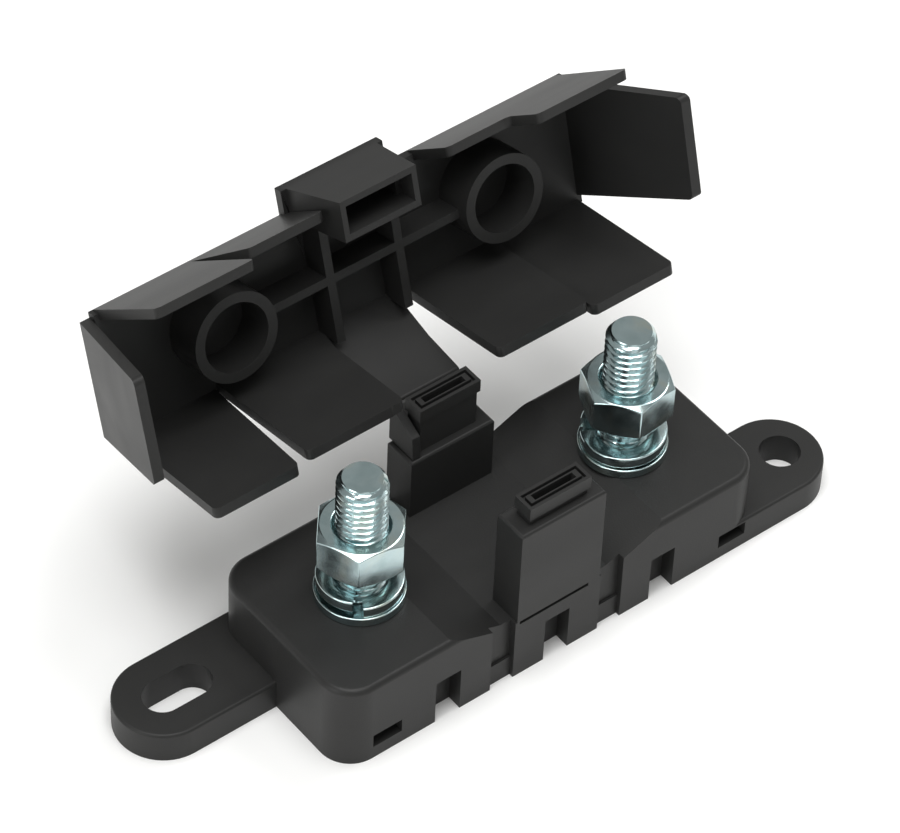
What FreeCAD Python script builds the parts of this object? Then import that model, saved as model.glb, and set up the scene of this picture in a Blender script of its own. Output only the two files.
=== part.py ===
"""Bolt-down fuse holder with a hinged cover, shown open, with two studs and no fuse fitted.

Millimetres, +Z up. The origin is at the centre of the base's underside, +X runs towards the
mounting ear with the round hole, and the cover hinges at the back, on the +Y side.
"""
import FreeCAD, Part
import math
import os
import Sketcher

V = FreeCAD.Vector
doc = FreeCAD.newDocument("fuse_holder")

# Driving sizes
SIZES = {
    # base moulding
    "base_length": 81.4,
    "base_width": 32.6,
    "pad_top": 16.4,
    "base_corner": 5.5,
    "edge_round": 1.0,
    "small_round": 0.5,
    "trough_floor": 12.3,
    "trough_half": 10.3,
    "trough_run": 10.2,
    "past": 1.0,
    "bite": 0.2,
    # mounting ears
    "ear_thick": 5.6,
    "ear_width": 16.0,
    "slot_ear_reach": 63.8,
    "slot_width": 6.4,
    "slot_travel": 5.4,
    "slot_inset": 10.5,
    "hole_ear_reach": 58.5,
    "ear_hole": 6.7,
    "hole_inset": 6.7,
    # front wall details
    "notch_pitch": 20.9,
    "notch_width": 4.7,
    "notch_rise": 8.8,
    "notch_deep": 2.6,
    "recess_pitch": 10.5,
    "recess_width": 4.4,
    "recess_deep": 1.2,
    "recess_ledge": 4.2,
    "recess_foot": 0.75,
    "left_window": 32.3,
    "right_window": 35.2,
    "window_width": 5.4,
    "window_low": 2.5,
    "window_rise": 2.6,
    "window_deep": 2.0,
    # latch block at the front and hinge block at the back
    "block_half": 8.0,
    "block_deep": 6.0,
    "latch_block_top": 31.4,
    "hinge_block_top": 24.2,
    "seam_high": 0.65,
    "seam_deep": 0.8,
    "seam_start": 7.5,
    "seam_end": 5.8,
    "boss_half": 5.8,
    "boss_deep": 3.75,
    "boss_setback": 1.15,
    "latch_boss_top": 35.0,
    "hinge_boss_top": 33.4,
    "lip_rise": 2.4,
    "lip_proud": 0.35,
    "groove_wide": 0.5,
    "rim_wide": 0.55,
    "groove_deep": 0.7,
    "slot_half": 3.9,
    "boss_slot_wide": 1.15,
    "boss_slot_deep": 3.0,
    # studs, washers and nuts
    "stud_pitch": 51.0,
    "stud_dia": 8.0,
    "stud_top": 41.7,
    "tip_chamfer": 1.1,
    "tip_run": 0.88,
    "head_flats": 13.0,
    "head_low": 1.4,
    "head_rise": 5.3,
    "head_clear": 0.1,
    "shank_clear": 0.1,
    "washer_dia": 14.2,
    "washer_bore": 8.4,
    "washer_thick": 1.6,
    "spring_dia": 13.6,
    "spring_bore": 8.5,
    "spring_thick": 2.0,
    "spring_lift": 1.2,
    "spring_gap": 14.0,
    "nut_flats": 13.0,
    "nut_rise": 6.8,
    "nut_low": 24.9,
    "nut_face_dia": 12.6,
    "nut_clear": 0.04,
    "left_nut_turn": 50.2,
    "right_nut_turn": 7.2,
    "left_split_turn": -129.8,
    "right_split_turn": 140.0,
    # cover, drawn shut
    "open_angle": 105.4,
    "hinge_out": 2.4,
    "hinge_z": 29.1,
    "ring_low": 36.9,
    "ring_rise": 7.0,
    "ring_dia": 14.9,
    "ring_bore": 11.45,
    "roof_thick": 1.6,
    "wall": 1.8,
    "roof_half": 44.6,
    "front_inset": 5.9,
    "back_inset": 3.7,
    "rib_rise": 5.0,
    "rib_thick": 1.5,
    "cross_rib": 6.5,
    "rib_front_gap": 0.4,
    "rib_back_gap": 1.2,
    "rib_end": 0.6,
    "front_end_low": 25.9,
    "front_mid_low": 34.0,
    "front_lean": 24.0,
    "back_end_low": 20.3,
    "back_mid_low": 20.9,
    "back_lean": 4.8,
    "back_end_step": 0.9,
    "split_place": 26.6,
    "slit_foot": 1.8,
    "slit_head": 0.25,
    "slit_slant": 0.3,
    "slit_slant_right": 0.8,
    "wall_inset": 0.8,
    "wall_lap": 0.5,
    "wall_corner": 1.0,
    "strap_gap": 9.1,
    "strap_gap_fan": 0.7,
    "end_low": 22.4,
    "left_end_root": 46.3,
    "left_end_foot": 51.6,
    "right_end_root": 45.0,
    "right_end_foot": 52.2,
    "end_root_front": 9.4,
    "end_root_back": 11.3,
    "end_foot_front": 12.1,
    "end_foot_back": 6.3,
    "mid_slant": 4.5,
    "right_mid_start": 14.6,
    # strap and hinge clip
    "strap_half": 7.1,
    "strap_thick": 1.2,
    "strap_start": 0.5,
    "knee_inset": 0.2,
    "knee_z": 35.9,
    "knee_half": 0.25,
    "hinge_clear": 0.25,
    "clip_thick": 1.6,
    "clip_clear": 0.1,
    "clip_seat": 0.05,
    "clip_ledge": 0.8,
    "clip_slope": 1.3,
    "cheek_out": 0.3,
    "cheek_high": 31.0,
    "cheek_drop": 1.4,
    "cheek_front": 28.6,
    "cheek_past": 0.4,
    "cheek_foot": 0.8,
    # latch sleeve
    "tab_half": 9.6,
    "tab_inset": 1.1,
    "sleeve_root_half": 8.6,
    "sleeve_root_in": 0.6,
    "sleeve_half": 7.1,
    "sleeve_front": 0.7,
    "sleeve_deep": 7.1,
    "seat_gap": 0.3,
    "boss_clear": 0.35,
    "boss_swing": 0.75,
    "pocket_step": 3.6,
    "pocket_deep": 7.0,
    "ledge_wide": 0.9,
}

sheet = doc.addObject("Spreadsheet::Sheet", "dims")
for row, (alias, value) in enumerate(SIZES.items(), start=1):
    sheet.set(f"A{row}", alias.replace("_", " "))
    sheet.set(f"B{row}", str(value))
    sheet.setAlias(f"B{row}", alias)
doc.recompute()


def named(text):
    """Puts the sheet's name before each of its aliases in an expression."""
    word, out = "", ""
    for letter in text + " ":
        if letter.isalnum() or letter == "_":
            word += letter
        else:
            out += "dims." + word if word in SIZES else word
            word = ""
            out += letter
    return out.strip()


def bind(thing, prop, text):
    thing.setExpression(prop, named(text))


def plane_of(body, role):
    return next(part for part in body.Origin.OriginFeatures if part.Role == role)


def sketch_on(body, name, role, offset, outlines=(), circles=()):
    """A sketch on an origin plane, moved along its normal, with every corner bound to the sheet."""
    sketch = body.newObject("Sketcher::SketchObject", name)
    sketch.AttachmentSupport = (plane_of(body, role), [""])
    sketch.MapMode = "FlatFace"
    bind(sketch, "AttachmentOffset.Base.z", offset)
    for points in outlines:
        first = sketch.GeometryCount
        count = len(points)
        for i in range(count):
            turn, after = 2 * math.pi * i / count, 2 * math.pi * (i + 1) / count
            start = V(math.cos(turn), math.sin(turn), 0)
            end = V(math.cos(after), math.sin(after), 0)
            sketch.addGeometry(Part.LineSegment(start, end), False)
        for i in range(count):
            joined = Sketcher.Constraint("Coincident", first + i, 2, first + (i + 1) % count, 1)
            sketch.addConstraint(joined)
        for i, point in enumerate(points):
            for kind, text in zip(("DistanceX", "DistanceY"), point):
                held = sketch.addConstraint(Sketcher.Constraint(kind, -1, 1, first + i, 1, 1.0))
                bind(sketch, f"Constraints[{held}]", text)
    for across, up, radius in circles:
        drawn = sketch.addGeometry(Part.Circle(V(0, 0, 0), V(0, 0, 1), 1.0), False)
        for kind, text in (("DistanceX", across), ("DistanceY", up)):
            held = sketch.addConstraint(Sketcher.Constraint(kind, -1, 1, drawn, 3, 1.0))
            bind(sketch, f"Constraints[{held}]", text)
        held = sketch.addConstraint(Sketcher.Constraint("Radius", drawn, 1.0))
        bind(sketch, f"Constraints[{held}]", radius)
    return sketch


def rectangle(low_x, high_x, low_y, high_y):
    return [(low_x, low_y), (high_x, low_y), (high_x, high_y), (low_x, high_y)]


def volume_of(body):
    doc.recompute()
    return body.Shape.Volume


def pad(body, name, sketch, length, back=False):
    feature = body.newObject("PartDesign::Pad", name)
    feature.Profile = sketch
    feature.Reversed = back
    bind(feature, "Length", length)
    return feature


def pocket(body, name, sketch, length, back=False):
    """A cut that must take something away."""
    before = volume_of(body)
    feature = body.newObject("PartDesign::Pocket", name)
    feature.Profile = sketch
    feature.Reversed = back
    bind(feature, "Length", length)
    if volume_of(body) >= before:
        raise RuntimeError(name + " cuts nothing")
    return feature


def loft(body, name, ends, kind="PartDesign::AdditiveLoft"):
    """A straight-sided loft between two rectangles, each given as its height and its four sides."""
    sections = []
    for word, (height, sides) in zip(("root", "foot"), ends):
        sections.append(sketch_on(body, f"{name}_{word}", "XY_Plane", height, [rectangle(*sides)]))
    feature = body.newObject(kind, name)
    feature.Profile = sections[0]
    feature.Sections = [sections[1]]
    feature.Ruled = True
    return feature


def round_edges(body, name, radius, wanted):
    """Fillets the edges of the body so far that the test picks out."""
    doc.recompute()
    base = body.Tip
    names = [f"Edge{i}" for i, edge in enumerate(base.Shape.Edges, start=1) if wanted(edge)]
    if not names:
        raise RuntimeError(name + " finds no edges")
    feature = body.newObject("PartDesign::Fillet", name)
    feature.Base = (base, names)
    bind(feature, "Radius", radius)
    doc.recompute()
    return feature


def size(alias):
    return sheet.get(alias)


# Lines that several features share
SIDE = "base_width / 2"
HINGE_Y = f"({SIDE} + hinge_out)"
ROOF_FRONT = f"({SIDE} - front_inset)"
ROOF_BACK = f"({SIDE} - back_inset)"


def new_body(name):
    body = doc.addObject("PartDesign::Body", name)
    body.Label = name
    return body


def make_base():
    """Two pads with a trough between them, two ears, a latch block and a hinge block, in one moulding."""
    body = new_body("base")
    half = "base_length / 2"
    outline = sketch_on(body, "base_outline", "XY_Plane", "0",
                        [rectangle(f"-{half}", half, f"-{SIDE}", SIDE)])
    pad(body, "base_pad", outline, "pad_top")

    def upright(edge):
        box = edge.BoundBox
        return box.ZLength > size("pad_top") - 0.01 and box.XLength < 0.01 and box.YLength < 0.01

    round_edges(body, "base_corners", "base_corner", upright)

    def pad_rim(edge):
        return edge.BoundBox.ZMin > size("pad_top") - 0.01

    round_edges(body, "base_top_round", "edge_round", pad_rim)

    foot, head = "trough_half", "trough_half + trough_run"
    above = "pad_top + past"
    slope = "(pad_top - trough_floor) / trough_run"
    wide = f"{head} + past / ({slope})"
    valley = [(f"-({wide})", above), (f"-{foot}", "trough_floor"), (foot, "trough_floor"), (wide, above)]
    trough = sketch_on(body, "trough_outline", "XZ_Plane", f"-{SIDE} - past", [valley])
    pocket(body, "trough", trough, "base_width + 2 * past", back=True)

    low = "trough_floor - past"
    for name, near, far, top in (("latch_block", f"-{SIDE}", f"-{SIDE} + block_deep", "latch_block_top"),
                                 ("hinge_block", f"{SIDE} - block_deep", SIDE, "hinge_block_top")):
        block = rectangle("-block_half", "block_half", near, far)
        drawn = sketch_on(body, name + "_outline", "XY_Plane", low, [block])
        pad(body, name, drawn, f"{top} - ({low})")

    def block_edge(edge):
        box = edge.BoundBox
        on_top = box.ZMin > size("latch_block_top") - 0.01
        flat_top = abs(box.ZMin - size("hinge_block_top")) < 0.01 and box.ZLength < 0.01
        return on_top or flat_top

    round_edges(body, "block_rounds", "small_round", block_edge)
    seam = sketch_on(body, "seam_outline", "XZ_Plane", SIDE,
                     [rectangle("-seam_start", "seam_end", "trough_floor - seam_high", "trough_floor")])
    pocket(body, "seam", seam, "seam_deep")

    for name, sign in (("latch", "-"), ("hinge", "")):
        top, boss_top = f"{name}_block_top", f"{name}_boss_top"
        outer = f"{SIDE} - boss_setback"
        inner = f"{SIDE} - boss_setback - boss_deep"
        near, far = (f"-({outer})", f"-({inner})") if sign else (inner, outer)
        neck = sketch_on(body, name + "_neck_outline", "XY_Plane", f"{top} - past",
                         [rectangle("-boss_half + lip_proud", "boss_half - lip_proud",
                                    f"{near} + lip_proud", f"{far} - lip_proud")])
        pad(body, name + "_neck", neck, f"{boss_top} - {top} + past")
        lip = sketch_on(body, name + "_lip_outline", "XY_Plane", f"{boss_top} - lip_rise",
                        [rectangle("-boss_half", "boss_half", near, far)])
        pad(body, name + "_lip", lip, "lip_rise")
        edge = "rim_wide"
        band = "(rim_wide + groove_wide)"
        groove = sketch_on(body, name + "_groove_outline", "XY_Plane", boss_top,
                           [rectangle(f"-boss_half + {edge}", f"boss_half - {edge}",
                                      f"{near} + {edge}", f"{far} - {edge}"),
                            rectangle(f"-boss_half + {band}", f"boss_half - {band}",
                                      f"{near} + {band}", f"{far} - {band}")])
        pocket(body, name + "_groove", groove, "groove_deep")
        middle = f"(({near}) + ({far})) / 2"
        slot = sketch_on(body, name + "_slot_outline", "XY_Plane", boss_top,
                         [rectangle("-slot_half", "slot_half",
                                    f"{middle} - boss_slot_wide / 2", f"{middle} + boss_slot_wide / 2")])
        pocket(body, name + "_slot", slot, "boss_slot_deep")

    ear_side = f"({SIDE} - ear_width / 2)"
    for name, sign, place in (("slot", "-", ear_side), ("hole", "", f"-{ear_side}")):
        end = f"{name}_ear_reach - ear_width / 2"
        inner = f"{half} - base_corner - past"
        ends = (f"-({end})", f"-({inner})") if sign else (inner, end)
        web = sketch_on(body, name + "_ear_outline", "XY_Plane", "0",
                        [rectangle(*ends, f"{place} - ear_width / 2", f"{place} + ear_width / 2")])
        pad(body, name + "_ear", web, "ear_thick")
        tip = sketch_on(body, name + "_ear_end_outline", "XY_Plane", "0",
                        circles=[(f"{sign}({end})", place, "ear_width / 2")])
        pad(body, name + "_ear_end", tip, "ear_thick")

    def ear_top(edge):
        box = edge.BoundBox
        level = abs(box.ZMin - size("ear_thick")) < 0.01 and box.ZLength < 0.01
        return level and max(abs(box.XMin), abs(box.XMax)) > size("base_length") / 2 + 1

    round_edges(body, "ear_rounds", "small_round", ear_top)

    above_ear, through_ear = "ear_thick + past", "ear_thick + 2 * past"
    slot_x = "-(slot_ear_reach - slot_inset)"
    near_x, far_x = f"{slot_x} - slot_travel / 2", f"{slot_x} + slot_travel / 2"
    for word, place in (("near", near_x), ("far", far_x)):
        end = sketch_on(body, f"slot_{word}_outline", "XY_Plane", above_ear,
                        circles=[(place, ear_side, "slot_width / 2")])
        pocket(body, f"slot_{word}", end, through_ear)
    sides = (f"{ear_side} - slot_width / 2", f"{ear_side} + slot_width / 2")
    middle = sketch_on(body, "slot_middle_outline", "XY_Plane", above_ear,
                       [rectangle(near_x, far_x, *sides)])
    pocket(body, "slot_middle", middle, through_ear)
    hole = sketch_on(body, "ear_hole_outline", "XY_Plane", above_ear,
                     circles=[("hole_ear_reach - hole_inset", f"-{ear_side}", "ear_hole / 2")])
    pocket(body, "ear_hole", hole, through_ear)

    def across(place, width):
        return f"{place} - {width} / 2", f"{place} + {width} / 2"

    for word, face, back, turn in (("front", SIDE, False, ""), ("rear", f"-{SIDE}", True, "-")):
        def sink(name, spans, low, high, deep):
            outlines = [rectangle(*span, low, high) for span in spans]
            drawn = sketch_on(body, f"{word}_{name}_outline", "XZ_Plane", face, outlines)
            pocket(body, f"{word}_{name}", drawn, deep, back)

        notches = [across(f"{k} * notch_pitch", "notch_width") for k in (-1, 0, 1)]
        strips = [across(f"{k} * recess_pitch", "recess_width") for k in (-1, 1)]
        windows = [across(f"{turn}({place})", "window_width") for place in ("-left_window", "right_window")]
        sink("notches", notches, "-past", "notch_rise", "notch_deep")
        sink("recesses", strips, "recess_ledge", above, "recess_deep")
        sink("recess_feet", strips, "-past", "recess_ledge", "recess_foot")
        sink("windows", windows, "window_low", "window_low + window_rise", "window_deep")

    apex = "(head_flats + 2 * head_clear) / 2 / cos(30)"
    for word, place in (("left", "-stud_pitch / 2"), ("right", "stud_pitch / 2")):
        corners = [(f"{place} + {apex} * cos({60 * k})", f"{apex} * sin({60 * k})") for k in range(6)]
        hexagon = sketch_on(body, f"{word}_head_outline", "XY_Plane", "-past", [corners])
        pocket(body, f"{word}_head_pocket", hexagon, "head_low + head_rise + head_clear + past", back=True)
        bore = sketch_on(body, f"{word}_shank_outline", "XY_Plane", above,
                         circles=[(place, "0", "stud_dia / 2 + shank_clear")])
        pocket(body, f"{word}_shank_bore", bore, above)
    return body


def make_stud(name, place):
    """A bolt seated from below: hexagon head, shank and chamfered tip, in one piece."""
    body = new_body(name)
    apex = "head_flats / 2 / cos(30)"
    corners = [(f"{apex} * cos({60 * k})", f"{apex} * sin({60 * k})") for k in range(6)]
    head = sketch_on(body, name + "_head_outline", "XY_Plane", "head_low", [corners])
    pad(body, name + "_head", head, "head_rise")
    radius = "stud_dia / 2"
    low = "head_low + head_rise - past"
    profile = sketch_on(body, name + "_shank_profile", "XZ_Plane", "0",
                        [[("0", low), (radius, low), (radius, "stud_top - tip_chamfer"),
                          (f"{radius} - tip_run", "stud_top"), ("0", "stud_top")]])
    shank = body.newObject("PartDesign::Revolution", name + "_shank")
    shank.Profile = profile
    shank.ReferenceAxis = (profile, ["V_Axis"])
    shank.Angle = 360
    bind(body, "Placement.Base.x", place)
    return body


def make_washer(name, place):
    """A flat washer lying on its pad."""
    body = new_body(name)
    ring = sketch_on(body, name + "_outline", "XY_Plane", "pad_top",
                     circles=[("0", "0", "washer_dia / 2"), ("0", "0", "washer_bore / 2")])
    pad(body, name + "_ring", ring, "washer_thick")
    bind(body, "Placement.Base.x", place)
    return body


def make_spring_washer(name, place, turn):
    """A split ring whose ends stand apart in height, because nothing presses it flat."""
    inner, outer = size("spring_bore") / 2, size("spring_dia") / 2
    low, thick, lift = size("pad_top") + size("washer_thick"), size("spring_thick"), size("spring_lift")
    sweep = 360.0 - size("spring_gap")
    steps = 24
    sections = []
    for i in range(steps + 1):
        share = i / steps
        angle = math.radians(size("spring_gap") / 2 + sweep * share)
        rise = low + lift * share
        corners = [(inner, rise), (outer, rise), (outer, rise + thick), (inner, rise + thick)]
        points = [V(r * math.cos(angle), r * math.sin(angle), z) for r, z in corners]
        sections.append(Part.makePolygon(points + points[:1]))
    feature = doc.addObject("Part::Feature", name)
    feature.Label = name
    feature.Shape = Part.makeLoft(sections, True, False)
    spin = FreeCAD.Rotation(V(0, 0, 1), turn)
    feature.Placement = FreeCAD.Placement(V(size("stud_pitch") / 2 * place, 0, 0), spin)
    return feature


def make_nut(name, place, turn):
    """A hexagon nut with both ends chamfered, part way down its stud."""
    def part(kind, word, **sizes):
        thing = doc.addObject(kind, f"{name}_{word}")
        for prop, text in sizes.items():
            bind(thing, prop.replace("__", "."), text)
        return thing

    prism = part("Part::Prism", "hexagon", Circumradius="nut_flats / 2 / cos(30)", Height="nut_rise")
    prism.Polygon = 6
    flat = "nut_face_dia / 2"
    wide = f"{flat} + nut_rise / tan(30)"
    top = part("Part::Cone", "top_cone", Radius1=wide, Radius2=flat, Height="nut_rise")
    foot = part("Part::Cone", "foot_cone", Radius1=flat, Radius2=wide, Height="nut_rise")
    one = doc.addObject("Part::Common", name + "_top_chamfered")
    one.Base, one.Tool = prism, top
    two = doc.addObject("Part::Common", name + "_chamfered")
    two.Base, two.Tool = one, foot
    bore = part("Part::Cylinder", "bore", Radius="stud_dia / 2 + nut_clear", Height="nut_rise + 2 * past",
                Placement__Base__z="-past")
    nut = doc.addObject("Part::Cut", name)
    nut.Base, nut.Tool = two, bore
    nut.Label = name
    nut.Placement = FreeCAD.Placement(V(0, 0, 0), FreeCAD.Rotation(V(0, 0, 1), 0))
    bind(nut, "Placement.Base.x", place)
    bind(nut, "Placement.Base.z", "nut_low")
    bind(nut, "Placement.Rotation.Angle", turn)
    return nut


def make_cover():
    """The cover moulding, drawn shut and then turned open about the hinge line."""
    body = new_body("cover")
    ceiling = "ring_low + ring_rise"
    outside = f"{ceiling} + roof_thick"
    front, back = f"-{ROOF_FRONT}", ROOF_BACK
    roof = sketch_on(body, "roof_outline", "XY_Plane", ceiling,
                     [rectangle("-roof_half", "roof_half", front, back)])
    pad(body, "roof", roof, "roof_thick")
    tab_edge = f"-({SIDE} - tab_inset)"
    tab = sketch_on(body, "tab_outline", "XY_Plane", ceiling,
                    [rectangle("-tab_half", "tab_half", tab_edge, f"{front} + past")])
    pad(body, "tab", tab, "roof_thick")

    def leaning(face, low, lean):
        return f"{face} + ({outside} - {low}) * tan({lean})"

    def wall(name, low, root, foot):
        """One flap of the cover's wall, from the roof's outer face down to its free edge."""
        loft(body, name, [(outside, root), (low, foot)])

    split = "split_place"
    outer = "(roof_half - wall_inset)"
    inner = "(tab_half - past)"

    def front_wall(name, root, foot, low):
        face = f"-({leaning(ROOF_FRONT, low, 'front_lean')})"
        wall(name, low, (*root, front, f"{front} + wall"), (*foot, face, f"{face} + wall"))

    front_wall("front_end_left", (f"-{outer}", f"-{split}"), (f"-{outer}", f"-{split} + slit_slant"),
               "front_end_low")
    front_wall("front_end_right", (split, outer), (f"{split} - slit_slant", outer), "front_end_low")
    front_wall("front_mid_left", (f"-{split} - wall_lap", f"-{inner}"),
               (f"-{split} + mid_slant", f"-{inner}"), "front_mid_low")
    front_wall("front_mid_right", ("right_mid_start", f"{split} + wall_lap"),
               ("right_mid_start", f"{split} + wall_lap"), "front_mid_low")

    def back_wall(name, root, foot, low, step):
        root_face = f"{back} - wall + {step}"
        foot_face = leaning(root_face, low, "back_lean")
        wall(name, low, (*root, root_face, f"{root_face} + wall"), (*foot, foot_face, f"{foot_face} + wall"))

    gap_foot = "(strap_gap + strap_gap_fan)"
    right_slit = f"{split} + slit_slant_right"
    back_wall("back_end_left", (f"-{outer}", f"-{split} - slit_head"),
              (f"-{outer}", f"-{split} - slit_foot"), "back_end_low", "back_end_step")
    back_wall("back_mid_left", (f"-{split}", "-strap_gap"), (f"-{split} + slit_slant", f"-{gap_foot}"),
              "back_mid_low", "0")
    back_wall("back_mid_right", ("strap_gap", split), (gap_foot, right_slit), "back_mid_low", "0")
    back_wall("back_end_right", (f"{split} + slit_head", outer), (f"{right_slit} + slit_head", outer),
              "back_end_low", "back_end_step")

    spans = {
        "left_end": [(f"-{face}", f"-{face} + wall") for face in ("left_end_root", "left_end_foot")],
        "right_end": [(f"{face} - wall", face) for face in ("right_end_root", "right_end_foot")],
    }
    for name, (root, foot) in spans.items():
        wall(name, "end_low", (*root, "-end_root_front", "end_root_back"),
             (*foot, "-end_foot_front", "end_foot_back"))

    lows = ("front_end_low", "front_mid_low", "back_end_low", "back_mid_low", "end_low")

    def flap_corner(edge):
        box = edge.BoundBox
        short = max(box.XLength, box.YLength) < size("wall") + 0.3 and min(box.XLength, box.YLength) < 0.4
        return short and box.ZLength < 0.01 and any(abs(box.ZMin - size(low)) < 0.01 for low in lows)

    round_edges(body, "flap_corners", "wall_corner", flap_corner)

    half_thick = "strap_thick / 2"
    knee_y = f"({SIDE} - knee_inset)"
    lean = f"atan(({HINGE_Y} - {knee_y}) / (knee_z - hinge_z))"
    across, along = f"{half_thick} * cos({lean})", f"{half_thick} * sin({lean})"
    bend = [(f"{back} - wall", ceiling), (f"{knee_y} - {half_thick}", "knee_z - knee_half"),
            (f"{HINGE_Y} - {across}", f"hinge_z - {along}"), (f"{HINGE_Y} + {across}", f"hinge_z + {along}"),
            (f"{knee_y} + {half_thick}", "knee_z + knee_half"), (f"{back} - strap_start", outside),
            (f"{back} - wall", outside)]
    strap = sketch_on(body, "strap_outline", "YZ_Plane", "-strap_half", [bend])
    pad(body, "strap", strap, "2 * strap_half")
    knuckle = sketch_on(body, "knuckle_outline", "YZ_Plane", "-strap_half",
                        circles=[(HINGE_Y, "hinge_z", half_thick)])
    pad(body, "knuckle", knuckle, "2 * strap_half")

    for name, place in (("left_ring", "-stud_pitch / 2"), ("right_ring", "stud_pitch / 2")):
        drawn = sketch_on(body, name + "_outline", "XY_Plane", "ring_low",
                          circles=[(place, "0", "ring_dia / 2"), (place, "0", "ring_bore / 2")])
        pad(body, name, drawn, "ring_rise + bite")

    low = f"{ceiling} - rib_rise"
    reach = "(stud_pitch / 2 - ring_bore / 2 - rib_end)"
    long_rib = sketch_on(body, "long_rib_outline", "XY_Plane", low,
                         [rectangle(f"-{reach}", reach, "-rib_thick / 2", "rib_thick / 2")])
    pad(body, "long_rib", long_rib, "rib_rise + bite")
    for name, place in (("left_rib", "-cross_rib"), ("right_rib", "cross_rib")):
        sides = (f"{place} - rib_thick / 2", f"{place} + rib_thick / 2")
        drawn = sketch_on(body, name + "_outline", "XY_Plane", low,
                          [rectangle(*sides, f"{front} + rib_front_gap", f"{back} - rib_back_gap")])
        pad(body, name, drawn, "rib_rise + bite")

    rim = "latch_block_top + seat_gap"
    root = ("-sleeve_root_half", "sleeve_root_half", tab_edge, f"{front} + sleeve_root_in")
    sleeve_face = f"-({SIDE} + sleeve_front)"
    foot = ("-sleeve_half", "sleeve_half", sleeve_face, f"{sleeve_face} + sleeve_deep")
    loft(body, "sleeve", [(f"{ceiling} + bite", root), (rim, foot)])
    boss_out = f"({SIDE} - boss_setback)"
    room = (f"-({boss_out} + boss_swing)", f"-({boss_out} - boss_deep - boss_clear)")
    wide = "boss_half + boss_clear"
    mouth = sketch_on(body, "mouth_outline", "XY_Plane", rim, [rectangle(f"-({wide})", wide, *room)])
    pocket(body, "mouth", mouth, "pocket_step", back=True)
    deep = sketch_on(body, "deep_outline", "XY_Plane", rim,
                     [rectangle(f"-({wide} - ledge_wide)", f"{wide} - ledge_wide", *room)])
    pocket(body, "deep_pocket", deep, "pocket_deep", back=True)

    turned = "open_angle"
    body.Placement = FreeCAD.Placement(V(0, 0, 0), FreeCAD.Rotation(V(1, 0, 0), -1))
    bind(body, "Placement.Base.y", f"{HINGE_Y} - {HINGE_Y} * cos({turned}) - hinge_z * sin({turned})")
    bind(body, "Placement.Base.z", f"hinge_z + {HINGE_Y} * sin({turned}) - hinge_z * cos({turned})")
    bind(body, "Placement.Rotation.Angle", f"-{turned}")
    return body


def make_hinge_clip():
    """The fixed end of the strap: a plate behind the hinge boss, its cheek and the ledge it bends at."""
    body = new_body("hinge_clip")
    back = f"({SIDE} - boss_setback + clip_clear)"
    low, top = "hinge_block_top + clip_seat", "hinge_z"
    ledge = f"{HINGE_Y} - strap_thick / 2 - hinge_clear"
    profile = [(back, low), (f"{back} + clip_thick", low), (f"{back} + clip_thick", f"{top} - clip_slope"),
               (ledge, f"{top} - clip_ledge"), (ledge, top), (back, top)]
    plate = sketch_on(body, "plate_outline", "YZ_Plane", "-strap_half", [profile])
    pad(body, "plate", plate, "2 * strap_half")
    side = [(f"{back} + clip_thick", low), (f"{back} + clip_thick", "cheek_high - cheek_drop"),
            (back, "cheek_high"), (f"{back} - boss_deep - cheek_past", "cheek_front"),
            (f"{back} - boss_deep - cheek_foot", low)]
    cheek = sketch_on(body, "cheek_outline", "YZ_Plane", "-strap_half - cheek_out", [side])
    pad(body, "cheek", cheek, "strap_half + cheek_out - boss_half - clip_clear")
    return body


parts = [
    make_base(),
    make_cover(),
    make_hinge_clip(),
    make_stud("left_stud", "-stud_pitch / 2"),
    make_stud("right_stud", "stud_pitch / 2"),
    make_washer("left_flat_washer", "-stud_pitch / 2"),
    make_washer("right_flat_washer", "stud_pitch / 2"),
    make_spring_washer("left_spring_washer", -1, size("left_split_turn")),
    make_spring_washer("right_spring_washer", 1, size("right_split_turn")),
    make_nut("left_nut", "-stud_pitch / 2", "left_nut_turn"),
    make_nut("right_nut", "stud_pitch / 2", "right_nut_turn"),
]
doc.recompute()

for thing in doc.Objects:
    if {"Invalid", "Error"} & set(thing.State):
        raise RuntimeError(f"{thing.Name} failed: {thing.State}")
os.makedirs("parts", exist_ok=True)
for part in parts:
    shape = part.Shape
    if shape.isNull() or not shape.isValid():
        raise RuntimeError(f"{part.Label} has no valid shape")
    shape.exportStep(f"parts/{part.Label}.step")
    print(part.Label, len(shape.Solids), round(shape.Volume, 1))
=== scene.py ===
# %% [markdown]
# # A bolt-down fuse holder, dressed in Blender
# The object is a black moulded base with two threaded studs for a bolt-down fuse, and a moulded
# cover that swings up on a thin plastic strap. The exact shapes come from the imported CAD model.
# This file keeps those solids, gives each surface the finish that its process leaves, and
# rebuilds the steel parts with real threads, because the light on a thread shows that it is steel.

import math

import bpy
from mathutils import Matrix, Vector


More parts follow.
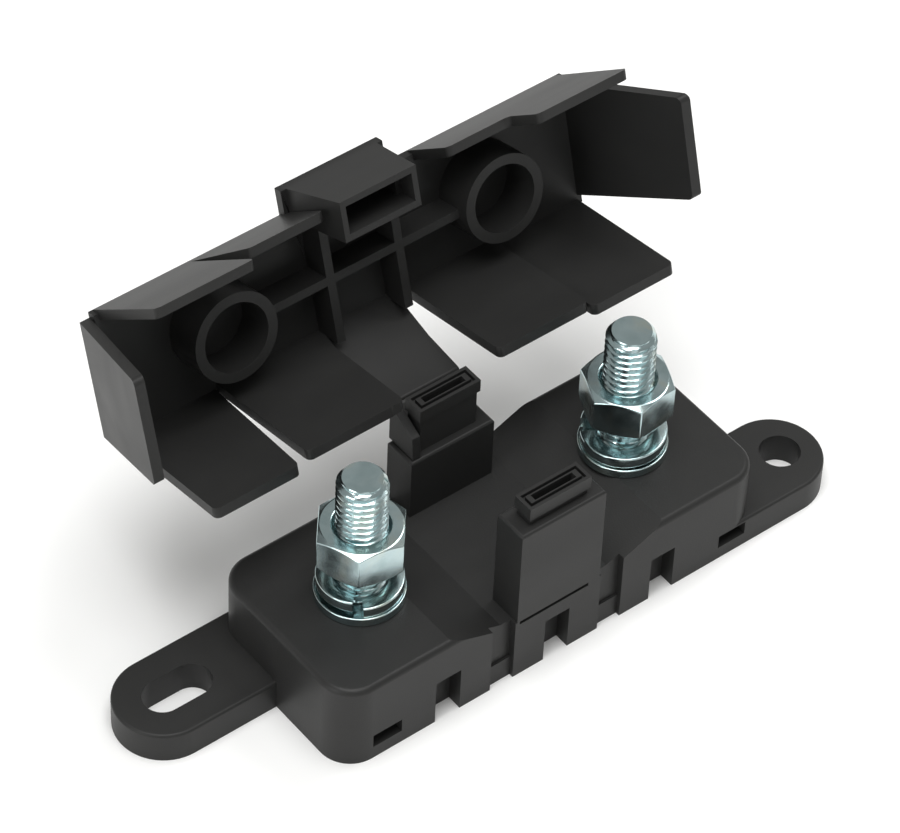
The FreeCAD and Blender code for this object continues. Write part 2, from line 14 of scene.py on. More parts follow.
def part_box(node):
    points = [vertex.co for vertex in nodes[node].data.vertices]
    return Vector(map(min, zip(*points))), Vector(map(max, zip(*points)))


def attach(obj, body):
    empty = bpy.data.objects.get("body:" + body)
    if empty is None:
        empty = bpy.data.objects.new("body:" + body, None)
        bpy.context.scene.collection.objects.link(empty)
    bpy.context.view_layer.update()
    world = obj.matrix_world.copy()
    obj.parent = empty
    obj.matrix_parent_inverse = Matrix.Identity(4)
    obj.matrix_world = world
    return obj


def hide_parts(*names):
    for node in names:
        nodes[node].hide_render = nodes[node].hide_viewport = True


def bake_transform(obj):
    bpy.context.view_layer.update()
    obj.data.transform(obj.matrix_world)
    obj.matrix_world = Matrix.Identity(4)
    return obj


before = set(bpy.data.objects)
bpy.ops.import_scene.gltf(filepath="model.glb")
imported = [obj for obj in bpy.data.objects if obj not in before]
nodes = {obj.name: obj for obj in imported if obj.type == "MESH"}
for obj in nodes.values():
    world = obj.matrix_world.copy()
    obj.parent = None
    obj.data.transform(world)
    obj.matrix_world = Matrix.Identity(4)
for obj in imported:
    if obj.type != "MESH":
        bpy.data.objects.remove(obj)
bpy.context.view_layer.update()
MM = 0.001
print("CAD nodes:", sorted(nodes))

# %% [markdown]
# A colour picked on a screen is written as sRGB hex, but a shader works in linear light.
# One function turns the first into the second, so that every colour below stays readable.

# %% Turn a hex colour into linear light
def linear(hex_code):
    channels = [int(hex_code[i:i + 2], 16) / 255 for i in (1, 3, 5)]
    return tuple(c / 12.92 if c <= 0.04045 else ((c + 0.055) / 1.055) ** 2.4 for c in channels) + (1.0,)


print("mid grey in linear light:", round(linear("#808080")[0], 3))

# %% [markdown]
# Materials and Geometry Nodes are both node trees, so one helper can build either.
# It adds a node, sets its properties, and fills its inputs with values or with links.

# %% Add a node with its settings and links
def add(tree, kind, inputs=None, **settings):
    node = tree.nodes.new(kind)
    for name, value in settings.items():
        setattr(node, name, value)
    for key, value in (inputs or {}).items():
        if isinstance(value, bpy.types.NodeSocket):
            tree.links.new(value, node.inputs[key])
        else:
            node.inputs[key].default_value = value
    return node


def new_material(name, **constants):
    """An empty material with a Principled shader whose constant numbers sit on its own sockets."""
    material = bpy.data.materials.new(name)
    material.use_nodes = True
    tree = material.node_tree
    tree.nodes.clear()
    shader = add(tree, "ShaderNodeBsdfPrincipled",
                 {key.replace("_", " "): value for key, value in constants.items()})
    add(tree, "ShaderNodeOutputMaterial", {"Surface": shader.outputs["BSDF"]})
    place = add(tree, "ShaderNodeTexCoord").outputs["Object"]
    return material, tree, shader, place


def per_mm(size_mm):
    """The scale that gives a texture cell this size, because Object coordinates are in metres."""
    return 1 / (size_mm * MM)


print("a 0.3 mm grain needs a texture scale of", round(per_mm(0.3)))

# %% [markdown]
# Data such as a mesh, a lamp or a camera shows nothing by itself. An object has to hold it, and
# the object has to be linked to the scene. These two helpers do that for all that follows.

# %% Put data and plain solids into the scene
def put(name, data):
    """An object that holds this data, linked to the scene at the origin."""
    holder = bpy.data.objects.new(name, data)
    bpy.context.scene.collection.objects.link(holder)
    return holder


def put_mesh(name, points, faces):
    """A mesh object from a list of points and the faces that join them."""
    mesh = bpy.data.meshes.new(name)
    mesh.from_pydata(points, [], faces)
    return put(name, mesh)


print("scene helpers are ready")

# %% [markdown]
# The base is injection-moulded nylon. The steel mould is spark-eroded, so the plastic comes out
# with a fine, even grain: black with a soft grey sheen, and no mirror-like glints. A photo
# texture would need unwrapping and would repeat. Noise in Object coordinates does neither.
# Broad patches and long streaks, left by the melt as it cooled, vary the black and its gloss.

# %% Moulded black nylon, for the base
# The real grain is near 0.05 mm. It is drawn at 0.28 mm, the finest that still shows here.
GRAIN = 0.28
CLOUD = 9  # mm, the size of the broad, soft patches


def moulded_plastic(name, dark, light, rough, smooth, grain_height, streak):
    """Plastic between two tones and two glosses, with its grain height and streak width in mm."""
    # The pits of the grain swallow part of each reflection, so the level is below the usual 0.5.
    material, tree, shader, place = new_material(name, IOR=1.5, Specular_IOR_Level=0.23)
    cloud = add(tree, "ShaderNodeTexNoise", {"Vector": place, "Scale": per_mm(CLOUD), "Detail": 4.0,
                                             "Roughness": 0.6})
    # Melt that flowed along the part leaves long, faint streaks, so this noise is stretched along X.
    run = add(tree, "ShaderNodeMapping", {"Vector": place, "Scale": (0.22, 1.0, 1.0)})
    flow = add(tree, "ShaderNodeTexNoise", {"Vector": run.outputs[0], "Scale": per_mm(streak), "Detail": 3.0,
                                            "Distortion": 0.6})
    mottle = add(tree, "ShaderNodeMath", {0: cloud.outputs["Fac"], 1: flow.outputs["Fac"], 2: 0.24},
                 operation="MULTIPLY_ADD")
    tint = add(tree, "ShaderNodeMix", {"Factor": mottle.outputs[0], "A": linear(dark), "B": linear(light)},
               data_type="RGBA")
    tree.links.new(tint.outputs[2], shader.inputs["Base Color"])
    gloss = add(tree, "ShaderNodeMapRange", {"Value": flow.outputs["Fac"], "From Min": 0.3, "From Max": 0.7,
                                             "To Min": smooth, "To Max": rough})
    tree.links.new(gloss.outputs[0], shader.inputs["Roughness"])
    grain = add(tree, "ShaderNodeTexNoise", {"Vector": place, "Scale": per_mm(GRAIN), "Detail": 2.0})
    bump = add(tree, "ShaderNodeBump", {"Height": grain.outputs["Fac"], "Distance": grain_height * MM,
                                        "Strength": 1.0})
    tree.links.new(bump.outputs[0], shader.inputs["Normal"])
    return material


nylon = moulded_plastic("moulded_black_nylon", dark="#222222", light="#2d2d2c", rough=0.5, smooth=0.4,
                        grain_height=0.02, streak=14)
print(nylon.name, "has", len(nylon.node_tree.nodes), "nodes")

# %% [markdown]
# The cover is polypropylene, because that plastic can be bent thousands of times at a thin line.
# It is softer and waxier than nylon, and comes from a smoother mould with longer flow streaks.
# The same recipe serves, with lower grain and a slightly different black.

# %% Moulded black polypropylene, for the cover and its clip
polypropylene = moulded_plastic("moulded_black_polypropylene", dark="#202020", light="#2c2c2b",
                                rough=0.5, smooth=0.4, grain_height=0.008, streak=22)
print(polypropylene.name, "has", len(polypropylene.node_tree.nodes), "nodes")

# %% [markdown]
# The studs, nuts and washers are cold-formed steel, zinc plated and clear passivated. The zinc
# is bright with a cool blue cast, which drifts to a faint yellow-green where the passive film
# changes thickness. Barrel plating leaves it satin, with tiny knocks from other parts.

# %% Zinc-plated steel, blue passivated
PASSIVE_PATCH = 5  # mm, the size of the patches where the passive film differs
SATIN_PATCH = 2.5  # mm, the size of the brighter and duller patches
KNOCK_SPACING = 0.9  # mm, from one knock of the plating barrel to the next
zinc, tree, shader, place = new_material("zinc_plated_steel", Metallic=1.0)
film = add(tree, "ShaderNodeTexNoise", {"Vector": place, "Scale": per_mm(PASSIVE_PATCH), "Detail": 2.0,
                                        "Distortion": 0.8})
hues = add(tree, "ShaderNodeValToRGB", {"Fac": film.outputs["Fac"]})
hues.color_ramp.elements[0].position = 0.3
hues.color_ramp.elements[0].color = linear("#b3c8ca")
hues.color_ramp.elements[1].position = 0.72
hues.color_ramp.elements[1].color = linear("#c8d2cb")
middle = hues.color_ramp.elements.new(0.5)
middle.color = linear("#bfd2d4")
tree.links.new(hues.outputs["Color"], shader.inputs["Base Color"])
satin = add(tree, "ShaderNodeTexNoise", {"Vector": place, "Scale": per_mm(SATIN_PATCH), "Detail": 3.0})
gloss = add(tree, "ShaderNodeMapRange", {"Value": satin.outputs["Fac"], "From Min": 0.3, "From Max": 0.7,
                                         "To Min": 0.14, "To Max": 0.24})
tree.links.new(gloss.outputs[0], shader.inputs["Roughness"])
knocks = add(tree, "ShaderNodeTexVoronoi", {"Vector": place, "Scale": per_mm(KNOCK_SPACING)},
             feature="SMOOTH_F1")
dents = add(tree, "ShaderNodeBump", {"Height": knocks.outputs["Distance"], "Distance": 0.006 * MM,
                                     "Strength": 0.4})
tree.links.new(dents.outputs[0], shader.inputs["Normal"])
print(zinc.name, "has", len(tree.nodes), "nodes")

# %% [markdown]
# A moulded edge is never perfectly sharp: the mould's own edge is rounded by a few tenths of a
# millimetre, and that thin line is what catches the light. The CAD solids have their large
# rounds already. A Weld modifier joins the loose triangles of each solid, a Decimate modifier
# merges the triangles that lie in one plane, and a Bevel modifier rounds each edge that is still
# sharp. Weighted normals then let the large faces shade flat, with the turn of the light kept
# to the narrow rounds. All of this happens on top of the CAD mesh, which itself stays untouched.

# %% Finish the plastic solids
EDGE = 0.22 * MM
CLIP_EDGE = EDGE * 0.6  # the clip is thin, so its rounds are smaller
SHARP = math.radians(18)  # an edge that turns by more than this gets a round
ONE_PLANE = math.radians(1)  # faces that differ by less than this are merged


def soften(piece, width):
    weld = piece.modifiers.new("weld", "WELD")
    weld.merge_threshold = 0.001 * MM
    flat = piece.modifiers.new("flat_faces", "DECIMATE")
    flat.decimate_type = "DISSOLVE"
    flat.angle_limit = ONE_PLANE
    bevel = piece.modifiers.new("edge_round", "BEVEL")
    bevel.width = width
    bevel.segments = 2
    bevel.limit_method = "ANGLE"
    bevel.angle_limit = SHARP
    shading = piece.modifiers.new("flat_shading", "WEIGHTED_NORMAL")
    shading.mode = "FACE_AREA"
    shading.keep_sharp = True
    for polygon in piece.data.polygons:
        polygon.use_smooth = True


def dress(piece, material):
    piece.data.materials.clear()
    piece.data.materials.append(material)


for name, material, width in (("base", nylon, EDGE), ("cover", polypropylene, EDGE),
                              ("hinge_clip", polypropylene, CLIP_EDGE)):
    dress(nodes[name], material)
    soften(nodes[name], width)
    print(name, "has", material.name)

# %% [markdown]
# A stud is an M8 bolt pushed up through the base from below. Its thread is one helical groove,
# 1.25 mm from turn to turn. Sweeping a profile along a spiral leaves open seams. Here a flat grid
# is rolled into a tube instead: each point's radius depends on its height and its angle, and
# that one rule draws the whole thread. The first and last rows close to a point on the axis.

# %% Start a Geometry Nodes tree with named inputs
SEAM = 0.002 * MM  # points closer than this are one point


def new_tree(name, sizes):
    """A tree with these sizes as its named inputs, and the sockets that give their values."""
    tree = bpy.data.node_groups.new(name, "GeometryNodeTree")
    tree.interface.new_socket("Geometry", in_out="OUTPUT", socket_type="NodeSocketGeometry")
    tree.interface.new_socket("Geometry", in_out="INPUT", socket_type="NodeSocketGeometry")
    for label, value in sizes.items():
        kind = "NodeSocketInt" if isinstance(value, int) else "NodeSocketFloat"
        tree.interface.new_socket(label, in_out="INPUT", socket_type=kind).default_value = value
    tree.interface.new_socket("Material", in_out="INPUT", socket_type="NodeSocketMaterial")
    source = add(tree, "NodeGroupInput")
    return tree, source.outputs


def close_tree(tree, geometry, sockets, sharp_angle):
    """Ends a tree: merged seams, edges sharp above an angle, instances made real, and a material."""
    merged = add(tree, "GeometryNodeMergeByDistance", {"Geometry": geometry, "Distance": SEAM})
    angle = add(tree, "GeometryNodeInputMeshEdgeAngle")
    soft = add(tree, "FunctionNodeCompare", {"A": angle.outputs["Unsigned Angle"], "B": sharp_angle},
               operation="LESS_THAN")
    shaded = add(tree, "GeometryNodeSetShadeSmooth",
                 {"Geometry": merged.outputs[0], "Shade Smooth": soft.outputs[0]}, domain="EDGE")
    real = add(tree, "GeometryNodeRealizeInstances", {"Geometry": shaded.outputs[0]})
    painted = add(tree, "GeometryNodeSetMaterial",
                  {"Geometry": real.outputs[0], "Material": sockets["Material"]})
    add(tree, "NodeGroupOutput", {"Geometry": painted.outputs[0]})


def grow(name, tree, material, sizes):
    """Runs a tree once and returns its result as a plain mesh object at the origin."""
    seed = put(name + "_seed", bpy.data.meshes.new(name + "_seed"))
    modifier = seed.modifiers.new("tree", "NODES")
    modifier.node_group = tree
    for item in tree.interface.items_tree:
        if item.in_out == "INPUT" and item.name in sizes:
            modifier[item.identifier] = sizes[item.name]
        if item.in_out == "INPUT" and item.name == "Material":
            modifier[item.identifier] = material
    grown = seed.evaluated_get(bpy.context.evaluated_depsgraph_get())
    mesh = bpy.data.meshes.new_from_object(grown)
    mesh.name = name
    seed.modifiers.remove(modifier)
    bpy.data.objects.remove(seed)
    print(name, "has", len(mesh.polygons), "faces")
    return put(name, mesh)


print("tree helpers are ready")

# %% Build the tree that rolls a threaded stud
TURN = 2 * math.pi
PITCH = 1.25 * MM
TIP_SLOPE = 0.8  # how fast the stud's tip narrows with height
stud_tree, given = new_tree("threaded_stud", {
    "Around": 72, "Rows": 200, "Place X": 0.0, "Radius": 4 * MM, "Pitch": PITCH, "Depth": 0.767 * MM,
    "Bottom": 14 * MM, "Top": 41.7 * MM, "Tip": 1.1 * MM, "Head Radius": 7.5 * MM, "Head Middle": 4 * MM,
    "Head Rise": 5.3 * MM})
columns = add(stud_tree, "ShaderNodeMath", {0: given["Around"], 1: 1.0})
sheet = add(stud_tree, "GeometryNodeMeshGrid",
            {"Size X": 1.0, "Size Y": 1.0, "Vertices X": columns.outputs[0], "Vertices Y": given["Rows"]})
where = add(stud_tree, "ShaderNodeSeparateXYZ", {0: add(stud_tree, "GeometryNodeInputPosition").outputs[0]})
angle = add(stud_tree, "ShaderNodeMath", {0: where.outputs["X"], 1: TURN, 2: math.pi},
            operation="MULTIPLY_ADD")
share = add(stud_tree, "ShaderNodeMath", {0: where.outputs["Y"], 1: 0.5})
# Rows run a pitch past each end and are held there, so that the end rows can close the tube.
below = add(stud_tree, "ShaderNodeMath", {0: given["Bottom"], 1: given["Pitch"]}, operation="SUBTRACT")
beyond = add(stud_tree, "ShaderNodeMath", {0: given["Top"], 1: given["Pitch"]})
free = add(stud_tree, "ShaderNodeMapRange", {"Value": share.outputs[0], "To Min": below.outputs[0],
                                             "To Max": beyond.outputs[0]})
height = add(stud_tree, "ShaderNodeClamp",
             {"Value": free.outputs[0], "Min": given["Bottom"], "Max": given["Top"]})
climb = add(stud_tree, "ShaderNodeMath", {0: height.outputs[0], 1: given["Pitch"]}, operation="DIVIDE")
turned = add(stud_tree, "ShaderNodeMath", {0: angle.outputs[0], 1: TURN}, operation="DIVIDE")
phase = add(stud_tree, "ShaderNodeMath", {0: climb.outputs[0], 1: turned.outputs[0]}, operation="SUBTRACT")
wave = add(stud_tree, "ShaderNodeMath", {0: phase.outputs[0], 1: 0.5}, operation="PINGPONG")
# A standard thread has a flat crest an eighth of the pitch wide and a root twice that.
cut = add(stud_tree, "ShaderNodeMapRange", {"Value": wave.outputs[0], "From Min": 0.0625, "From Max": 0.375,
                                            "To Min": 0.0, "To Max": given["Depth"]})
crest = add(stud_tree, "ShaderNodeMath", {0: given["Radius"], 1: cut.outputs[0]}, operation="SUBTRACT")
left_over = add(stud_tree, "ShaderNodeMath", {0: given["Top"], 1: height.outputs[0]}, operation="SUBTRACT")
tip_base = add(stud_tree, "ShaderNodeMath", {0: given["Tip"], 1: -TIP_SLOPE, 2: given["Radius"]},
               operation="MULTIPLY_ADD")
cone = add(stud_tree, "ShaderNodeMath", {0: left_over.outputs[0], 1: TIP_SLOPE, 2: tip_base.outputs[0]},
           operation="MULTIPLY_ADD")
tapered = add(stud_tree, "ShaderNodeMath", {0: crest.outputs[0], 1: cone.outputs[0]}, operation="MINIMUM")
inside = add(stud_tree, "ShaderNodeMath", {0: share.outputs[0], 1: 0.5, 2: 0.4999}, operation="COMPARE")
radius = add(stud_tree, "ShaderNodeMath", {0: tapered.outputs[0], 1: inside.outputs[0]}, operation="MULTIPLY")
ring_x = add(stud_tree, "ShaderNodeMath", {0: angle.outputs[0]}, operation="COSINE")
ring_y = add(stud_tree, "ShaderNodeMath", {0: angle.outputs[0]}, operation="SINE")
along_x = add(stud_tree, "ShaderNodeMath", {0: ring_x.outputs[0], 1: radius.outputs[0], 2: given["Place X"]},
              operation="MULTIPLY_ADD")
along_y = add(stud_tree, "ShaderNodeMath", {0: ring_y.outputs[0], 1: radius.outputs[0]}, operation="MULTIPLY")
rolled = add(stud_tree, "ShaderNodeCombineXYZ", {"X": along_x.outputs[0], "Y": along_y.outputs[0],
                                                 "Z": height.outputs[0]})
shank = add(stud_tree, "GeometryNodeSetPosition",
            {"Geometry": sheet.outputs["Mesh"], "Position": rolled.outputs[0]})
hexagon = add(stud_tree, "GeometryNodeMeshCylinder", {"Vertices": 6, "Radius": given["Head Radius"],
                                                      "Depth": given["Head Rise"]})
under = add(stud_tree, "ShaderNodeCombineXYZ", {"X": given["Place X"], "Z": given["Head Middle"]})
head = add(stud_tree, "GeometryNodeTransform",
           {"Geometry": hexagon.outputs["Mesh"], "Translation": under.outputs[0]})
whole = add(stud_tree, "GeometryNodeJoinGeometry", {"Geometry": shank.outputs[0]})
stud_tree.links.new(head.outputs[0], whole.inputs[0])
close_tree(stud_tree, whole.outputs[0], given, sharp_angle=math.radians(35))
print("the stud tree has", len(stud_tree.nodes), "nodes")

# %% Grow both studs, each sized from its CAD node
HEAD_RISE = 5.3 * MM
OVERLAP = 0.1 * MM  # the shank starts inside its head

for side in ("left", "right"):
    low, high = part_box(side + "_stud")
    stud = grow(side + "_threaded_stud", stud_tree, zinc, {
        "Place X": (low.x + high.x) / 2, "Rows": 270, "Bottom": low.z + HEAD_RISE - OVERLAP, "Top": high.z,
        "Head Radius": (high.x - low.x) / 2, "Head Middle": low.z + HEAD_RISE / 2, "Head Rise": HEAD_RISE})
    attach(stud, "base")
    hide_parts(side + "_stud")

# %% [markdown]
# The nut is a hexagon whose corners are turned away at 30 degrees, which leaves a round face and
# curved edges on the flats. Cutting a prism with a cone by a Boolean gives long thin faces. The
# rolled grid works again: its rows follow the nut's outline from the bore, over the top, down
# the flats and back, and the hexagon rule sets how far out each point of the flats lies.

# %% Build the tree that turns a hexagon nut
FACE_SHARE = 0.97  # the round face's width, as a share of the width across the flats
CORNER_ANGLE = math.radians(30)
nut_tree, given = new_tree("hexagon_nut", {
    "Around": 120, "Place X": 0.0, "Turn": 0.0, "Flats": 13 * MM, "Bore": 4.04 * MM, "Sink": 0.5 * MM,
    "Bottom": 24.9 * MM, "Top": 31.7 * MM})
columns = add(nut_tree, "ShaderNodeMath", {0: given["Around"], 1: 1.0})
sheet = add(nut_tree, "GeometryNodeMeshGrid", {"Size X": 1.0, "Size Y": 8.0, "Vertices X": columns.outputs[0],
                                               "Vertices Y": 9})
where = add(nut_tree, "ShaderNodeSeparateXYZ", {0: add(nut_tree, "GeometryNodeInputPosition").outputs[0]})
angle = add(nut_tree, "ShaderNodeMath", {0: where.outputs["X"], 1: TURN, 2: math.pi},
            operation="MULTIPLY_ADD")
row = add(nut_tree, "ShaderNodeMath", {0: where.outputs["Y"], 1: 4.5})
step = add(nut_tree, "ShaderNodeMath", {0: row.outputs[0]}, operation="FLOOR")
# The angle from the nearest flat's middle gives the distance out to that flat.
sector = add(nut_tree, "ShaderNodeMath", {0: angle.outputs[0], 1: TURN / 6, 2: 0.0}, operation="WRAP")
off_flat = add(nut_tree, "ShaderNodeMath", {0: sector.outputs[0], 1: TURN / 12}, operation="SUBTRACT")
lean = add(nut_tree, "ShaderNodeMath", {0: off_flat.outputs[0]}, operation="COSINE")
half = add(nut_tree, "ShaderNodeMath", {0: given["Flats"], 1: 0.5}, operation="MULTIPLY")
flat = add(nut_tree, "ShaderNodeMath", {0: half.outputs[0], 1: lean.outputs[0]}, operation="DIVIDE")
face = add(nut_tree, "ShaderNodeMath", {0: half.outputs[0], 1: FACE_SHARE}, operation="MULTIPLY")
past = add(nut_tree, "ShaderNodeMath", {0: flat.outputs[0], 1: face.outputs[0]}, operation="SUBTRACT")
fall = add(nut_tree, "ShaderNodeMath", {0: past.outputs[0], 1: math.tan(CORNER_ANGLE)},
           operation="MULTIPLY")
mouth = add(nut_tree, "ShaderNodeMath", {0: given["Bore"], 1: given["Sink"]})
high_edge = add(nut_tree, "ShaderNodeMath", {0: given["Top"], 1: fall.outputs[0]}, operation="SUBTRACT")
low_edge = add(nut_tree, "ShaderNodeMath", {0: given["Bottom"], 1: fall.outputs[0]})
high_sink = add(nut_tree, "ShaderNodeMath", {0: given["Top"], 1: given["Sink"]}, operation="SUBTRACT")
low_sink = add(nut_tree, "ShaderNodeMath", {0: given["Bottom"], 1: given["Sink"]})
outline = [(given["Bore"], low_sink.outputs[0]), (given["Bore"], high_sink.outputs[0]),
           (mouth.outputs[0], given["Top"]), (face.outputs[0], given["Top"]),
           (flat.outputs[0], high_edge.outputs[0]), (flat.outputs[0], low_edge.outputs[0]),
           (face.outputs[0], given["Bottom"]), (mouth.outputs[0], given["Bottom"]),
           (given["Bore"], low_sink.outputs[0])]
chosen = []
for column in (0, 1):
    switch = add(nut_tree, "GeometryNodeIndexSwitch", data_type="FLOAT")
    while len(switch.index_switch_items) < len(outline):
        switch.index_switch_items.new()
    nut_tree.links.new(step.outputs[0], switch.inputs["Index"])
    for i, point in enumerate(outline):
        nut_tree.links.new(point[column], switch.inputs[i + 1])
    chosen.append(switch.outputs[0])
heading = add(nut_tree, "ShaderNodeMath", {0: angle.outputs[0], 1: given["Turn"]})
ring_x = add(nut_tree, "ShaderNodeMath", {0: heading.outputs[0]}, operation="COSINE")
ring_y = add(nut_tree, "ShaderNodeMath", {0: heading.outputs[0]}, operation="SINE")
along_x = add(nut_tree, "ShaderNodeMath", {0: ring_x.outputs[0], 1: chosen[0], 2: given["Place X"]},
              operation="MULTIPLY_ADD")
along_y = add(nut_tree, "ShaderNodeMath", {0: ring_y.outputs[0], 1: chosen[0]}, operation="MULTIPLY")
turned = add(nut_tree, "ShaderNodeCombineXYZ",
             {"X": along_x.outputs[0], "Y": along_y.outputs[0], "Z": chosen[1]})
solid = add(nut_tree, "GeometryNodeSetPosition",
            {"Geometry": sheet.outputs["Mesh"], "Position": turned.outputs[0]})
# The outline runs from the bore outwards, which leaves the faces inside out, so they are flipped.
outward = add(nut_tree, "GeometryNodeFlipFaces", {"Mesh": solid.outputs[0]})
close_tree(nut_tree, outward.outputs[0], given, sharp_angle=math.radians(12))
print("the nut tree has", len(nut_tree.nodes), "nodes")

# %% Turn both nuts, at the angles that their CAD nodes hold
NUT_EDGE = 0.12 * MM

for side, turn in (("left", 50.2), ("right", 7.2)):
    low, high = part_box(side + "_nut")
    nut = grow(side + "_hexagon_nut", nut_tree, zinc, {
        "Place X": (low.x + high.x) / 2, "Turn": math.radians(turn), "Bottom": low.z, "Top": high.z})
    soften(nut, NUT_EDGE)
    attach(nut, side + "_nut")
    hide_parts(side + "_nut")

# %% [markdown]
# Under each nut lies a spring washer: a ring of flat-sided wire, cut through, whose ends stand
# apart until the nut presses it flat. It is a path by nature, so here a curve is the better
# start: an arc that climbs a little, with a rounded section carried along it and capped ends.

# %% Build the tree that bends a spring washer
ring_tree, given = new_tree("spring_washer", {
    "Place X": 0.0, "Turn": 0.0, "Middle Radius": 5.5 * MM, "Wire Wide": 2.5 * MM, "Wire High": 2 * MM,
    "Round": 0.25 * MM, "Gap": math.radians(14), "Bottom": 18 * MM, "Lift": 1.2 * MM})
start = add(ring_tree, "ShaderNodeMath", {0: given["Gap"], 1: 0.5, 2: given["Turn"]},
            operation="MULTIPLY_ADD")
sweep = add(ring_tree, "ShaderNodeMath", {0: TURN, 1: given["Gap"]}, operation="SUBTRACT")
arc = add(ring_tree, "GeometryNodeCurveArc",
          {"Resolution": 97, "Radius": given["Middle Radius"], "Start Angle": start.outputs[0],
           "Sweep Angle": sweep.outputs[0]})
parameter = add(ring_tree, "GeometryNodeSplineParameter")
level = add(ring_tree, "ShaderNodeMath", {0: given["Wire High"], 1: 0.5, 2: given["Bottom"]},
            operation="MULTIPLY_ADD")
climb = add(ring_tree, "ShaderNodeMath",
            {0: parameter.outputs["Factor"], 1: given["Lift"], 2: level.outputs[0]}, operation="MULTIPLY_ADD")
offset = add(ring_tree, "ShaderNodeCombineXYZ", {"X": given["Place X"], "Z": climb.outputs[0]})
path = add(ring_tree, "GeometryNodeSetPosition",
           {"Geometry": arc.outputs["Curve"], "Offset": offset.outputs[0]})
upright = add(ring_tree, "GeometryNodeSetCurveNormal", {"Curve": path.outputs[0]}, mode="Z_UP")
section = add(ring_tree, "GeometryNodeCurvePrimitiveQuadrilateral",
              {"Width": given["Wire Wide"], "Height": given["Wire High"]})
eased = add(ring_tree, "GeometryNodeFilletCurve",
            {"Curve": section.outputs[0], "Radius": given["Round"], "Count": 3}, mode="POLY")
wire = add(ring_tree, "GeometryNodeCurveToMesh",
           {"Curve": upright.outputs[0], "Profile Curve": eased.outputs[0], "Fill Caps": True})
close_tree(ring_tree, wire.outputs[0], given, sharp_angle=math.radians(40))
print("the spring washer tree has", len(ring_tree.nodes), "nodes")

# %% Bend both spring washers, with their splits where the CAD nodes have them
WIRE_HIGH = 2 * MM
WASHER_EDGE = 0.2 * MM

for side, turn in (("left", -129.8), ("right", 140.0)):
    flat_low, flat_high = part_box(side + "_flat_washer")
    low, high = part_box(side + "_spring_washer")
    washer = grow(side + "_split_washer", ring_tree, zinc, {
        "Place X": (flat_low.x + flat_high.x) / 2, "Turn": math.radians(turn), "Middle Radius": 5.525 * MM,
        "Wire Wide": 2.55 * MM, "Wire High": WIRE_HIGH, "Bottom": low.z, "Lift": high.z - low.z - WIRE_HIGH})
    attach(washer, "base")
    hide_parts(side + "_spring_washer")
    dress(nodes[side + "_flat_washer"], zinc)
    soften(nodes[side + "_flat_washer"], WASHER_EDGE)

# %% [markdown]
# The strap leaves the cover between two flaps of the rear wall, and no daylight shows between it
# and the left flap. A narrow strip widens that flap by a millimetre, just short of the hinge
# block. Its outline is easier to give on the shut cover, so each point is then turned open.

# %% Widen the left rear flap towards the strap
HINGE = Vector((0, 18.7 * MM, 29.1 * MM))
OPENING = Matrix.Rotation(math.radians(-105.4), 3, "X")
STRIP_TOP = 43.9  # mm, on the roof's inner face
# The outline, as x and height in mm
strip_outline = [(-9.4, STRIP_TOP), (-6.9, STRIP_TOP), (-8.0, 38.5), (-8.2, 21.9), (-8.45, 21.25),
                 (-9.0, 20.95), (-10.6, 20.95)]
INNER_FACE = 10.97  # mm, how far back the flap's inner face lies at that height
LEAN = 0.084  # how far the flap leans back for each millimetre down
STRIP_THICK = 1.7  # mm, a little less than the flap
TOP_STEP = 0.1  # mm, by which its top is thinner, so that it stays inside the roof's rear edge
strip_points = []
for thickness in (0, STRIP_THICK):
    for x, z in strip_outline:
        depth = thickness - (TOP_STEP if thickness and z == STRIP_TOP else 0)
        shut = Vector((x, INNER_FACE + (STRIP_TOP - z) * LEAN + depth, z)) * MM
        strip_points.append(HINGE + OPENING @ (shut - HINGE))
corners = len(strip_outline)
strip_faces = [tuple(range(corners - 1, -1, -1)), tuple(range(corners, 2 * corners))]
strip_faces += [(i, (i + 1) % corners, (i + 1) % corners + corners, i + corners) for i in range(corners)]
flap_strip = put_mesh("flap_strip", strip_points, strip_faces)
dress(flap_strip, polypropylene)
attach(flap_strip, "cover")
print("the strip has", len(strip_faces), "faces")

# %% [markdown]
# On the real object the cover and its clip are one moulding, joined by a film of plastic thin
# enough to bend. The film is a narrow strip between the two solids.

# %% Stretch the hinge film between the clip and the strap
clip_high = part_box("hinge_clip")[1]
FILM = 0.5 * MM
SIDE_GAP = 0.2 * MM  # the film ends this far inside the strap's sides
# The clip's right side is in line with the strap's. Its left side isn't, because of its cheek.
half_width = clip_high.x - SIDE_GAP
steps = 8
points, faces = [], []
start = HINGE + Vector((0, -1.1, -0.3)) * MM
end = HINGE + Vector((0, -0.1, 0.1)) * MM
for i in range(steps + 1):
    middle = start.lerp(end, i / steps)
    for x, z in ((-1, -1), (1, -1), (1, 1), (-1, 1)):
        points.append((x * half_width, middle.y, middle.z + z * FILM / 2))
for i in range(steps):
    for j in range(4):
        a, b = 4 * i + j, 4 * i + (j + 1) % 4
        faces.append((b, a, a + 4, b + 4))
faces.append((0, 1, 2, 3))
faces.append(tuple(4 * steps + j for j in (3, 2, 1, 0)))
hinge_film = put_mesh("hinge_film", points, faces)
dress(hinge_film, polypropylene)
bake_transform(hinge_film)
print("the film spans", round((end - start).length / MM, 2), "mm")

# %% [markdown]
# The holder stands on a plain pale floor. A large plane is enough.
# Its colour alone makes the background pale.

# %% Lay the floor
REACH = 2.5
floor = put_mesh("floor", [(-REACH, -REACH, 0), (REACH, -REACH, 0), (REACH, REACH, 0), (-REACH, REACH, 0)],
                 [(0, 1, 2, 3)])
paper, _, shader, _ = new_material("pale_paper", Roughness=0.9)
shader.inputs["Base Color"].default_value = linear("#f6f6f5")
dress(floor, paper)
print("floor laid,", 2 * REACH, "m across")

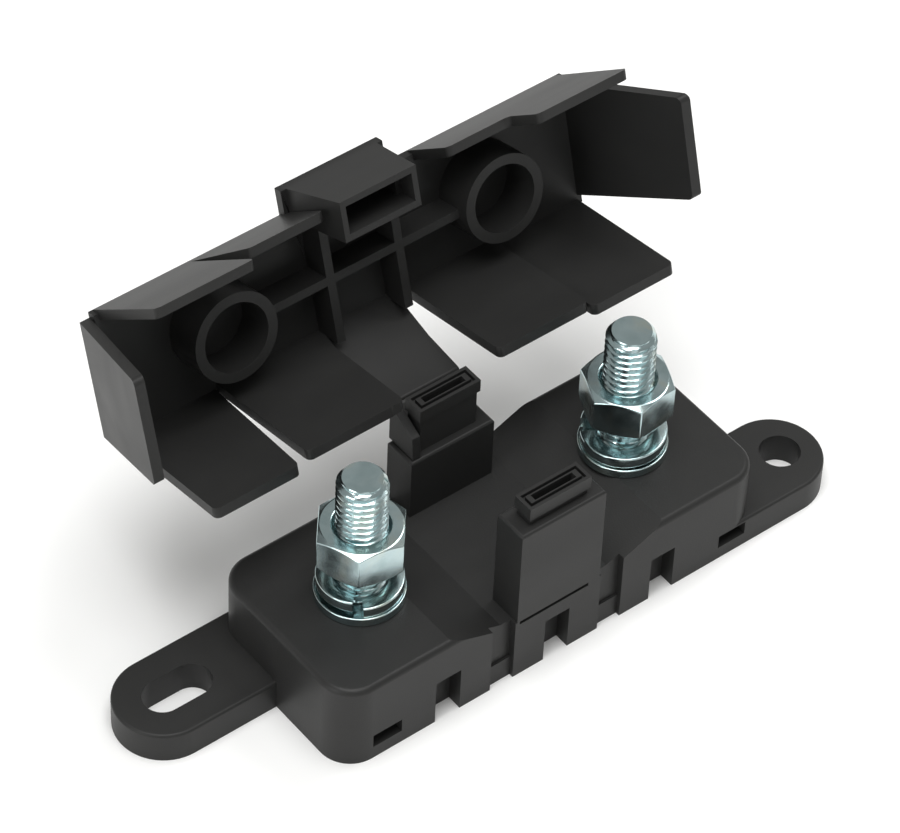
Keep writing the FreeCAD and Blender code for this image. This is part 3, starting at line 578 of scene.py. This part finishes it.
# %% [markdown]
# Soft studio light: one large panel above, three weaker ones in front, at the left and at the
# right, and an even sky. Together they bring the pale floor close to white. The left panel is
# low, because the outside of the cover's left end faces that way and is bright in the picture.

# %% Hang the lights
def softbox(name, position, size, power):
    """A square panel of light that points at the holder."""
    lamp = bpy.data.lights.new(name, "AREA")
    lamp.shape = "SQUARE"
    lamp.size = size
    lamp.energy = power
    panel = put(name, lamp)
    panel.location = position
    panel.rotation_euler = (-Vector(position)).to_track_quat("-Z", "Y").to_euler()


softbox("top_panel", (-0.12, -0.12, 1.15), size=0.7, power=10.0)
softbox("front_panel", (-0.35, -0.85, 0.6), size=0.5, power=0.4)
softbox("right_panel", (0.55, 0.05, 0.8), size=0.35, power=2.4)
softbox("left_panel", (-1.0, -0.1, 0.4), size=0.5, power=3.2)
world = bpy.data.worlds.new("studio")
world.use_nodes = True
sky = world.node_tree.nodes["Background"]
sky.inputs["Color"].default_value = linear("#f5f5f3")
sky.inputs["Strength"].default_value = 0.4
bpy.context.scene.world = world
bpy.context.scene.view_settings.view_transform = "Standard"
print("four panels and a sky")

# %% [markdown]
# The camera's place was worked out from the picture by fitting known sizes: it looks down on
# the holder from the front left with a long lens, and is turned a little about its own axis.

# %% Set the camera
AIM = Vector((0.07, 11.45, 28.88)) * MM
AZIMUTH, ELEVATION, ROLL = math.radians(-39.83), math.radians(46.43), math.radians(2.67)
DISTANCE = 694 * MM
SENSOR, FOCAL_PIXELS, IMAGE_WIDTH = 36, 4570, 900
back = Vector((math.sin(AZIMUTH) * math.cos(ELEVATION), -math.cos(AZIMUTH) * math.cos(ELEVATION),
               math.sin(ELEVATION)))
level_right = Vector((math.cos(AZIMUTH), math.sin(AZIMUTH), 0))
level_up = back.cross(level_right)
right = level_right * math.cos(ROLL) + level_up * math.sin(ROLL)
up = level_up * math.cos(ROLL) - level_right * math.sin(ROLL)
lens = bpy.data.cameras.new("camera")
lens.sensor_width = SENSOR
lens.lens = SENSOR * FOCAL_PIXELS / IMAGE_WIDTH
lens.clip_start, lens.clip_end = 0.01, 20
camera = put("camera", lens)
camera.matrix_world = Matrix((right, up, back)).transposed().to_4x4()
camera.location = AIM + back * DISTANCE
bpy.context.scene.camera = camera
print("camera at", [round(c, 3) for c in camera.location], "with a lens of", round(lens.lens), "mm")
